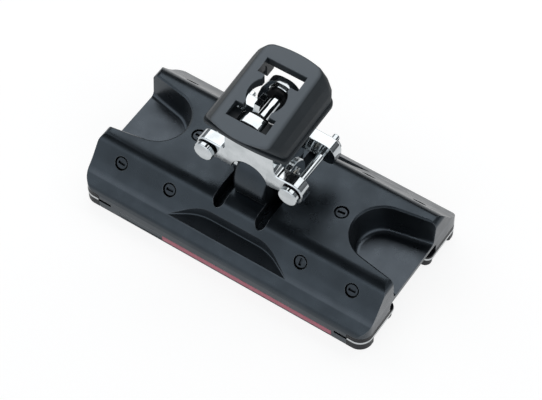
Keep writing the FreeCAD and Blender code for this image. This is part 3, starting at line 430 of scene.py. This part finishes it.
def screw_place(flats):
    """A screw's place, with its head's face on Z = 0 and its slot along X, and its whole length."""
    corners = [corner for flat in flats for corner in flat[0]]
    out = widest_normal([flat for flat in flats if flat[1].z > LEANING_UP])
    face = max(corner.dot(out) for corner in corners)
    rim = [corner for corner in corners if face - corner.dot(out) < SAME_PLANE]
    aside = out.orthogonal().normalized()
    middle = out * face
    for way in (aside, out.cross(aside)):
        reach = [corner.dot(way) for corner in rim]
        middle += way * (min(reach) + max(reach)) / 2
    walls = [flat for flat in flats if abs(flat[1].dot(out)) < ALMOST_SQUARE
             and all((corner - middle).length < HEAD_RADIUS - 2 * RIM_ROUND for corner in flat[0])]
    over = widest_normal(walls)
    turn = Matrix((over.cross(out), over, out)).transposed()
    length = max(face - corner.dot(out) for corner in corners)
    return Matrix.Translation(middle) @ turn.to_4x4(), length


def add_screw(bm, place, length):
    """Models a screw with its head's face on Z = 0, then moves it to its place."""
    head = bmesh.ops.create_cone(bm, cap_ends=True, segments=HEAD_SEGMENTS, radius1=HEAD_RADIUS,
                                 radius2=HEAD_RADIUS, depth=HEAD_THICKNESS,
                                 matrix=Matrix.Translation((0, 0, -HEAD_THICKNESS / 2)))
    faces = {face for vert in head["verts"] for face in vert.link_faces}
    top = max(faces, key=lambda face: face.calc_center_median().z)
    under = min(faces, key=lambda face: face.calc_center_median().z)
    bmesh.ops.inset_individual(bm, faces=[under], thickness=HEAD_RADIUS - SHANK_RADIUS, depth=0)
    bmesh.ops.inset_individual(bm, faces=[under], thickness=SHANK_TAPER, depth=length - HEAD_THICKNESS)
    bmesh.ops.bevel(bm, geom=top.edges[:], offset=RIM_ROUND, segments=RIM_STEPS, profile=0.5, affect="EDGES",
                    material=-1, clamp_overlap=True)
    level = [face for face in bm.faces
             if face.normal.z > ALMOST_LEVEL and abs(face.calc_center_median().z) < SAME_PLANE]
    top = max(level, key=lambda face: face.calc_area())
    bmesh.ops.inset_individual(bm, faces=[top], thickness=RIM_ROUND, depth=0)
    region = [top]
    for way, half in (((0, 1, 0), SLOT_WIDTH / 2), ((1, 0, 0), SLOT_LENGTH / 2)):
        for side in (-1, 1):
            edges = {edge for face in region for edge in face.edges}
            verts = {vert for face in region for vert in face.verts}
            cut = bmesh.ops.bisect_plane(bm, geom=region + list(edges) + list(verts), dist=SAME_POINT,
                                         plane_co=Vector(way) * half * side, plane_no=Vector(way))
            inner = [piece for piece in cut["geom"] if isinstance(piece, bmesh.types.BMFace)]
            region = [min(inner, key=lambda face: face.calc_center_bounds().length)]
    bmesh.ops.inset_individual(bm, faces=region, thickness=SLOT_WALL_LEAN, depth=-SLOT_DEPTH)
    for face in bm.faces:
        from_axis = face.calc_center_median().xy.length
        face.smooth = abs(face.normal.z) < ALMOST_LEVEL and from_axis > HEAD_RADIUS - 2 * RIM_ROUND
    bmesh.ops.transform(bm, matrix=place, verts=bm.verts)


def make_screws(name, node_name):
    """Remakes all the screws of a CAD node as one piece."""
    mesh = bpy.data.meshes.new(name)
    whole = bmesh.new()
    groups = screws_apart(nodes[node_name])
    for flats in groups:
        place, length = screw_place(flats)
        bm = bmesh.new()
        add_screw(bm, place, length)
        bm.to_mesh(mesh)
        bm.free()
        whole.from_mesh(mesh)
    whole.to_mesh(mesh)
    whole.free()
    mesh.materials.append(oxide)
    piece = bpy.data.objects.new(name, mesh)
    bpy.context.collection.objects.link(piece)
    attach(piece, "car")
    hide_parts(node_name)
    print(name, len(groups), "screws", len(mesh.polygons), "faces")


make_screws("broad_slot_screws_front", "slope_screws_front")
make_screws("broad_slot_screws_back", "slope_screws_back")
make_screws("broad_slot_screws_deck", "deck_screws")

# %% [markdown]
# The load balls sit in two rows beside the track and carry the car. In the CAD they have few faces, because
# there are so many of them. Here each row is remade as true spheres: a sphere is created by an operator at
# the middle of each CAD ball, so that every ball stays in its own seat, and the row becomes one piece.

# %% Load balls
BALL_RADIUS = 4.76 * MM
BALL_SEGMENTS = 24
BALL_RINGS = 14


def ball_centres(node):
    """The middle of each CAD ball of a row: vertices within one ball's width along X belong together."""
    along = sorted(vertex.co.x for vertex in node.data.vertices)
    groups = [[along[0]]]
    for x in along[1:]:
        if x - groups[-1][0] > 2 * BALL_RADIUS:
            groups.append([])
        groups[-1].append(x)
    low, high = [Vector(corner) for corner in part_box(node.name)]
    middle = (low + high) / 2
    return [Vector(((group[0] + group[-1]) / 2, middle.y, middle.z)) for group in groups]


def make_balls(name, node_name, body):
    """Remakes a row of balls as one piece."""
    centres = ball_centres(nodes[node_name])
    bm = bmesh.new()
    for centre in centres:
        bmesh.ops.create_uvsphere(bm, u_segments=BALL_SEGMENTS, v_segments=BALL_RINGS, radius=BALL_RADIUS,
                                  matrix=Matrix.Translation(centre))
    for face in bm.faces:
        face.smooth = True
    mesh = bpy.data.meshes.new(name)
    bm.to_mesh(mesh)
    bm.free()
    mesh.materials.append(ball_finish)
    piece = bpy.data.objects.new(name, mesh)
    bpy.context.collection.objects.link(piece)
    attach(piece, body)
    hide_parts(node_name)
    print(name, len(centres), "balls", len(mesh.polygons), "faces")


for word in ("front", "back"):
    make_balls("true_balls_" + word, "load_balls_" + word, "car")

# %% [markdown]
# A split ring is two turns of spring wire laid side by side, with its ends half a turn apart, so that it can
# be wound through the pin's cross hole. One turn of a torus would look like a washer, so a small circle is
# spun round the ring's axis for almost two turns while it creeps sideways.

# %% Split rings on the control pins
RING_TURNS = 1.85
RING_STEPS = 96
WIRE_SEGMENTS = 12
WIRE_SHARE = 0.46


def make_split_ring(name, node_name, body):
    """Winds a split ring that fills the box of a plain CAD ring."""
    low, high = [Vector(corner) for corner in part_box(node_name)]
    middle = (low + high) / 2
    outer = (high.z - low.z) / 2
    thick = high.y - low.y
    wire = thick * WIRE_SHARE / 2
    creep = thick - 2 * wire
    start = middle + Vector((0, -creep / 2, outer - wire))
    upright = Matrix.Rotation(math.radians(90), 4, "Y")
    bm = bmesh.new()
    cap = bmesh.ops.create_circle(bm, cap_ends=True, segments=WIRE_SEGMENTS, radius=wire,
                                  matrix=Matrix.Translation(start) @ upright)
    bmesh.ops.spin(bm, geom=cap["verts"] + bm.edges[:] + bm.faces[:], cent=middle, axis=Vector((0, 1, 0)),
                   dvec=Vector((0, creep / RING_STEPS, 0)), angle=RING_TURNS * 2 * math.pi, steps=RING_STEPS,
                   use_merge=False, use_duplicate=False)
    bmesh.ops.remove_doubles(bm, verts=bm.verts, dist=SAME_POINT)
    bmesh.ops.recalc_face_normals(bm, faces=bm.faces)
    for face in bm.faces:
        face.smooth = len(face.verts) == 4
    mesh = bpy.data.meshes.new(name)
    bm.to_mesh(mesh)
    bm.free()
    mesh.materials.append(rolled)
    piece = bpy.data.objects.new(name, mesh)
    bpy.context.collection.objects.link(piece)
    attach(piece, body)
    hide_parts(node_name)
    print(name, "wire %.2f mm" % (2 * wire / MM), len(mesh.polygons), "faces")


for word in ("left", "right"):
    make_split_ring("split_ring_" + word, "control_ring_" + word, word + "_control_pin")

# %% [markdown]
# A camera angle found from the photograph's own parallel edges puts every pixel where it belongs. Azimuth and
# elevation turn the view, the roll is tiny, and the focal length in pixels becomes a lens in millimetres for
# Blender's 36 mm sensor. The lengths were solved for a slightly smaller car, so all of them are scaled up.

# %% Camera
SOLVED_TO_REAL = 1.027
AZIMUTH = math.radians(34.38)
ELEVATION = math.radians(54.92)
ROLL = math.radians(-0.72)
DISTANCE = 1371.3 * SOLVED_TO_REAL * MM
ASIDE = Vector((1.07, -11.15)) * SOLVED_TO_REAL * MM
CENTRE_HEIGHT = 34.5 * SOLVED_TO_REAL * MM
FOCAL_PIXELS = 2095.0
FRAME_PIXELS = 542
SENSOR_MM = 36.0


def make_camera():
    """The camera that took the photograph."""
    right = Vector((math.cos(AZIMUTH), math.sin(AZIMUTH), 0))
    back = Vector((math.sin(AZIMUTH) * math.cos(ELEVATION), -math.cos(AZIMUTH) * math.cos(ELEVATION),
                   math.sin(ELEVATION)))
    up = back.cross(right)
    turned_right = right * math.cos(ROLL) + up * math.sin(ROLL)
    turned_up = up * math.cos(ROLL) - right * math.sin(ROLL)
    place = turned_right * ASIDE.x + turned_up * ASIDE.y + back * DISTANCE + Vector((0, 0, CENTRE_HEIGHT))
    turn = Matrix((turned_right, turned_up, back)).transposed().to_4x4()
    data = bpy.data.cameras.new("photo_camera")
    data.sensor_width = SENSOR_MM
    data.lens = FOCAL_PIXELS / FRAME_PIXELS * SENSOR_MM
    camera = bpy.data.objects.new("photo_camera", data)
    camera.matrix_world = Matrix.Translation(place) @ turn
    bpy.context.collection.objects.link(camera)
    bpy.context.scene.camera = camera
    return camera


camera = make_camera()
print("camera at", [round(v, 3) for v in camera.location], "lens", round(camera.data.lens, 1))

# %% [markdown]
# The photograph is a catalogue cut-out on pure white. A lit white table and pale walls fill the horizon, and
# one long softbox hangs across the back, so that the deck and the pins get a wide, even reflection. The
# ceiling and a drape on the back wall stay dark: they draw the dark bands along the two crests and give the
# steel contrast.

# %% Studio: lit table, softbox and room
FLOOR_HALF = 2.5
FLOOR_DROP = 0.05 * MM
PAPER_GREY = (0.24, 0.24, 0.24)
WHITE = (1.0, 1.0, 1.0, 1.0)
TABLE_GLOW = 0.85
SOFTBOX_TOWARDS = Vector((-0.10, 0.56, 0.78))
SOFTBOX_DISTANCE = 1.5
SOFTBOX_SIZE = (2.5, 0.75)
SOFTBOX_RADIANCE = 1.9
HORIZON_DEGREES = 9
WALL_TOP_DEGREES = 29
CEILING_DEGREES = 41
HORIZON_LIGHT = (0.80, 0.83, 0.86, 1.0)
WALL_LIGHT = (1.66, 1.71, 1.76, 1.0)
CEILING_LIGHT = (0.06, 0.065, 0.07, 1.0)
BACK_DRAPE = (0.05, 0.055, 0.06)
DRAPE_START = 0.15
DRAPE_FULL = 0.55


def make_floor():
    """A glowing paper table that the car stands on."""
    mesh = bpy.data.meshes.new("floor")
    bm = bmesh.new()
    bmesh.ops.create_grid(bm, x_segments=1, y_segments=1, size=FLOOR_HALF,
                          matrix=Matrix.Translation((0, 0, -FLOOR_DROP)))
    bm.to_mesh(mesh)
    bm.free()
    floor = bpy.data.objects.new("floor", mesh)
    bpy.context.collection.objects.link(floor)
    paper, _tree, shader = finish("studio_paper", PAPER_GREY, roughness=0.9)
    shader.inputs["Emission Color"].default_value = WHITE
    shader.inputs["Emission Strength"].default_value = TABLE_GLOW
    mesh.materials.append(paper)


def make_softbox(name, towards, distance, size, radiance):
    """An area light that faces the car from a direction, with the radiance a mirror would see in it."""
    data = bpy.data.lights.new(name, "AREA")
    data.shape = "RECTANGLE"
    data.size, data.size_y = size
    data.energy = radiance * math.pi * size[0] * size[1]
    light = bpy.data.objects.new(name, data)
    light.location = towards.normalized() * distance
    light.rotation_euler = towards.to_track_quat("Z", "Y").to_euler()
    bpy.context.collection.objects.link(light)


def sky_place(degrees):
    """Where an elevation lies on a ramp that runs from straight down to straight up."""
    return 0.5 + 0.5 * math.sin(math.radians(degrees))


def make_room():
    """A room that is brightest at shoulder height and dim overhead, with a drape across its back wall."""
    world = bpy.data.worlds.new("studio")
    world.use_nodes = True
    tree = world.node_tree
    place = tree.nodes.new("ShaderNodeTexCoord")
    axes = tree.nodes.new("ShaderNodeSeparateXYZ")
    tree.links.new(place.outputs["Generated"], axes.inputs["Vector"])
    ramp = tree.nodes.new("ShaderNodeValToRGB")
    ramp.color_ramp.elements[0].position = sky_place(HORIZON_DEGREES)
    ramp.color_ramp.elements[0].color = HORIZON_LIGHT
    ramp.color_ramp.elements[1].position = sky_place(CEILING_DEGREES)
    ramp.color_ramp.elements[1].color = CEILING_LIGHT
    ramp.color_ramp.elements.new(sky_place(WALL_TOP_DEGREES)).color = WALL_LIGHT
    tree.links.new(map_field(tree, axes.outputs["Z"], -1.0, 1.0), ramp.inputs["Fac"])
    drape = map_field(tree, axes.outputs["Y"], DRAPE_START, DRAPE_FULL)
    walls = mix_colour(tree, ramp.outputs["Color"], drape, BACK_DRAPE)
    tree.links.new(walls, tree.nodes["Background"].inputs["Color"])
    bpy.context.scene.world = world


make_floor()
make_softbox("long_box_over_the_back", SOFTBOX_TOWARDS, SOFTBOX_DISTANCE, SOFTBOX_SIZE, SOFTBOX_RADIANCE)
make_room()
bpy.context.scene.view_settings.view_transform = "Standard"
print("softbox at", [round(v, 2) for v in SOFTBOX_TOWARDS.normalized() * SOFTBOX_DISTANCE])
